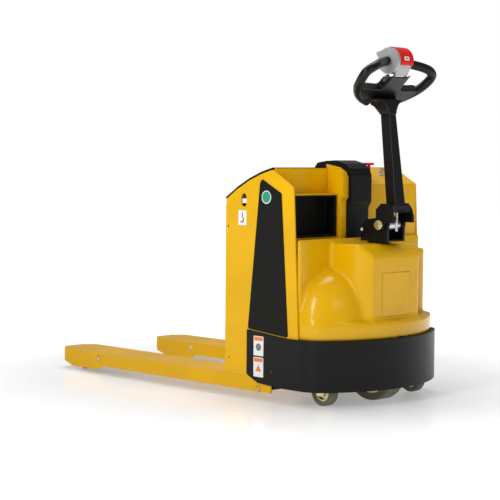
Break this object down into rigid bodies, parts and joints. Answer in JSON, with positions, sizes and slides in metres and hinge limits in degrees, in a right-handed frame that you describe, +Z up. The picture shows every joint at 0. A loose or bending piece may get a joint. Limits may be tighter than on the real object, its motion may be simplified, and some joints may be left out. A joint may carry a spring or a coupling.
{
  "type": "electric pallet truck",
  "caption": "Pedestrian electric pallet truck with lifting forks, battery compartment, steered drive wheel, casters and a tilting tiller with a control head.",
  "frame": {"origin": "middle of the truck's length and width, on the floor", "axes": "+X towards the tiller and operator, forks towards -X; +Y to the operator's right when facing the forks; +Z up"},
  "size_m": [1.572, 0.704, 1.2825],
  "materials": {
    "yellow_paint": "gloss enamel",
    "yellow_cover": "gloss moulding",
    "dark_strip": "satin film",
    "skirt_plastic": "satin moulding",
    "black_plastic": "fine grain",
    "black_steel": "satin black enamel",
    "head_plastic": "soft grain",
    "bright_steel": "machined",
    "zinc": "zinc plated",
    "battery_steel": "acid-resistant enamel",
    "battery_case": "moulded",
    "lead": "cast lead",
    "polyurethane": "polyurethane tread",
    "silver_plastic": "silver grey moulding",
    "red_plastic": "gloss red moulding",
    "button_plastic": "moulded"
  },
  "bodies": {
    "chassis": {"bumper_skirt": "skirt_plastic", "drive_frame": "black_steel", "drive_hood": "yellow_cover", "upper_body_left": "yellow_cover", "upper_body_right": "yellow_cover", "storage_tray": "black_plastic", "centre_cowl": "black_plastic", "pump_unit": "black_steel", "lift_cylinder": "bright_steel", "motor_controller": "head_plastic", "slewing_ring": "bright_steel", "disconnect_switch": "head_plastic", "key_lock": "bright_steel"},
    "fork_frame": {"fork_left": "yellow_paint", "fork_right": "yellow_paint", "arm_pins": "bright_steel", "side_plate_left": "yellow_paint", "side_plate_right": "yellow_paint", "side_strips": "dark_strip", "load_backplate": "yellow_paint", "battery_cradle": "black_steel", "battery_box": "battery_steel", "battery_cells": "battery_case", "battery_links": "lead", "lid_hinges": "bright_steel", "lift_piston_rod": "bright_steel"},
    "battery_lid": {"battery_lid": "black_plastic"},
    "torsion_shaft": {"torsion_shaft": "black_steel"},
    "steer": {"gearbox": "black_steel", "drive_motor": "black_steel", "steering_yoke": "black_steel"},
    "drive_wheel": {"drive_tyre": "polyurethane", "drive_hub": "zinc"},
    "tiller": {"tiller_arm": "black_steel", "tilt_bolt": "zinc", "return_spring": "bright_steel", "tiller_head": "head_plastic", "drum_housing": "silver_plastic"},
    "throttle": {"throttle_left": "silver_plastic", "throttle_right": "silver_plastic"},
    "reversing_button": {"reversing_cover": "red_plastic"},
    "lift_button": {"lift_button": "button_plastic"},
    "lower_button": {"lower_button": "button_plastic"},
    "horn_button": {"horn_button": "button_plastic"},
    "disconnect": {"disconnect_handle": "red_plastic"},
    "key": {"key": "bright_steel"},
    "load_arm_left": {"load_arm_left": "black_steel"},
    "load_wheel_left": {"load_tyre_left": "polyurethane", "load_hub_left": "bright_steel"},
    "pull_rod_left": {"pull_rod_left": "black_steel"},
    "caster_swivel_left": {"caster_fork_left": "zinc"},
    "caster_wheel_left": {"caster_tyre_left": "polyurethane", "caster_hub_left": "zinc"},
    "load_arm_right": {"load_arm_right": "black_steel"},
    "load_wheel_right": {"load_tyre_right": "polyurethane", "load_hub_right": "bright_steel"},
    "pull_rod_right": {"pull_rod_right": "black_steel"},
    "caster_swivel_right": {"caster_fork_right": "zinc"},
    "caster_wheel_right": {"caster_tyre_right": "polyurethane", "caster_hub_right": "zinc"}
  },
  "joints": [
    {"name": "lift", "type": "slide", "parent": "chassis", "child": "fork_frame", "axis": [0, 0, 1], "range_m": [0, 0.11]},
    {"name": "load_arm_left", "type": "hinge", "parent": "fork_frame", "child": "load_arm_left", "pos_m": [-0.522, -0.2565, 0.064], "axis": [0, -1, 0], "range_deg": [0, 51.3]},
    {"name": "load_wheel_left", "type": "hinge", "parent": "load_arm_left", "child": "load_wheel_left", "pos_m": [-0.67497, -0.2565, 0.039], "axis": [0, 1, 0], "continuous": true},
    {"name": "pull_rod_left", "type": "slide", "parent": "fork_frame", "child": "pull_rod_left", "axis": [1, 0, 0], "range_m": [0, 0.02165]},
    {"name": "load_arm_right", "type": "hinge", "parent": "fork_frame", "child": "load_arm_right", "pos_m": [-0.522, 0.2565, 0.064], "axis": [0, -1, 0], "range_deg": [0, 51.3]},
    {"name": "load_wheel_right", "type": "hinge", "parent": "load_arm_right", "child": "load_wheel_right", "pos_m": [-0.67497, 0.2565, 0.039], "axis": [0, 1, 0], "continuous": true},
    {"name": "pull_rod_right", "type": "slide", "parent": "fork_frame", "child": "pull_rod_right", "axis": [1, 0, 0], "range_m": [0, 0.02165]},
    {"name": "torsion_shaft", "type": "hinge", "parent": "fork_frame", "child": "torsion_shaft", "pos_m": [0.385, 0, 0.042], "axis": [0, 1, 0], "range_deg": [0, 51.3]},
    {"name": "battery_lid", "type": "hinge", "parent": "fork_frame", "child": "battery_lid", "pos_m": [0.223, 0, 0.723], "axis": [0, -1, 0], "range_deg": [0, 90]},
    {"name": "steer", "type": "hinge", "parent": "chassis", "child": "steer", "pos_m": [0.654, 0, 0.2], "axis": [0, 0, 1], "range_deg": [-90, 90]},
    {"name": "drive_wheel", "type": "hinge", "parent": "steer", "child": "drive_wheel", "pos_m": [0.654, 0, 0.115], "axis": [0, 1, 0], "continuous": true},
    {"name": "tiller", "type": "hinge", "parent": "steer", "child": "tiller", "pos_m": [0.714, 0, 0.645], "axis": [0, 1, 0], "range_deg": [0, 75], "stiffness_Nm_per_rad": 25, "springref_deg": -28.65},
    {"name": "throttle", "type": "hinge", "parent": "tiller", "child": "throttle", "pos_m": [0.7326, 0, 1.2325], "axis": [0, 1, 0], "range_deg": [-25, 25], "stiffness_Nm_per_rad": 0.8},
    {"name": "reversing_button", "type": "slide", "parent": "tiller", "child": "reversing_button", "axis": [-0.5299, 0, -0.848], "range_m": [0, 0.006], "stiffness_N_per_m": 1500, "springref_m": -0.003},
    {"name": "lift_button", "type": "slide", "parent": "tiller", "child": "lift_button", "axis": [0, 1, 0], "range_m": [0, 0.0025], "stiffness_N_per_m": 800, "springref_m": -0.001},
    {"name": "lower_button", "type": "slide", "parent": "tiller", "child": "lower_button", "axis": [0, 1, 0], "range_m": [0, 0.0025], "stiffness_N_per_m": 800, "springref_m": -0.001},
    {"name": "horn_button", "type": "slide", "parent": "tiller", "child": "horn_button", "axis": [0, -1, 0], "range_m": [0, 0.0025], "stiffness_N_per_m": 800, "springref_m": -0.001},
    {"name": "disconnect", "type": "slide", "parent": "chassis", "child": "disconnect", "axis": [0, 0, -1], "range_m": [0, 0.01]},
    {"name": "key", "type": "hinge", "parent": "chassis", "child": "key", "pos_m": [0.494, 0.202, 0.82314], "axis": [0.4961, 0, 0.8682], "range_deg": [0, 90]},
    {"name": "caster_swivel_left", "type": "hinge", "parent": "chassis", "child": "caster_swivel_left", "pos_m": [0.639, -0.248, 0.16], "axis": [0, 0, 1], "continuous": true},
    {"name": "caster_wheel_left", "type": "hinge", "parent": "caster_swivel_left", "child": "caster_wheel_left", "pos_m": [0.627, -0.248, 0.05], "axis": [0, 1, 0], "continuous": true},
    {"name": "caster_swivel_right", "type": "hinge", "parent": "chassis", "child": "caster_swivel_right", "pos_m": [0.639, 0.248, 0.16], "axis": [0, 0, 1], "continuous": true},
    {"name": "caster_wheel_right", "type": "hinge", "parent": "caster_swivel_right", "child": "caster_wheel_right", "pos_m": [0.627, 0.248, 0.05], "axis": [0, 1, 0], "continuous": true}
  ],
  "couplings": [
    {"joint": "load_arm_left", "follows": "lift", "rad_per_m": 8.1379},
    {"joint": "pull_rod_left", "follows": "lift", "ratio": 0.19672},
    {"joint": "load_arm_right", "follows": "lift", "rad_per_m": 8.1379},
    {"joint": "pull_rod_right", "follows": "lift", "ratio": 0.19672},
    {"joint": "torsion_shaft", "follows": "lift", "rad_per_m": 8.1379}
  ]
}
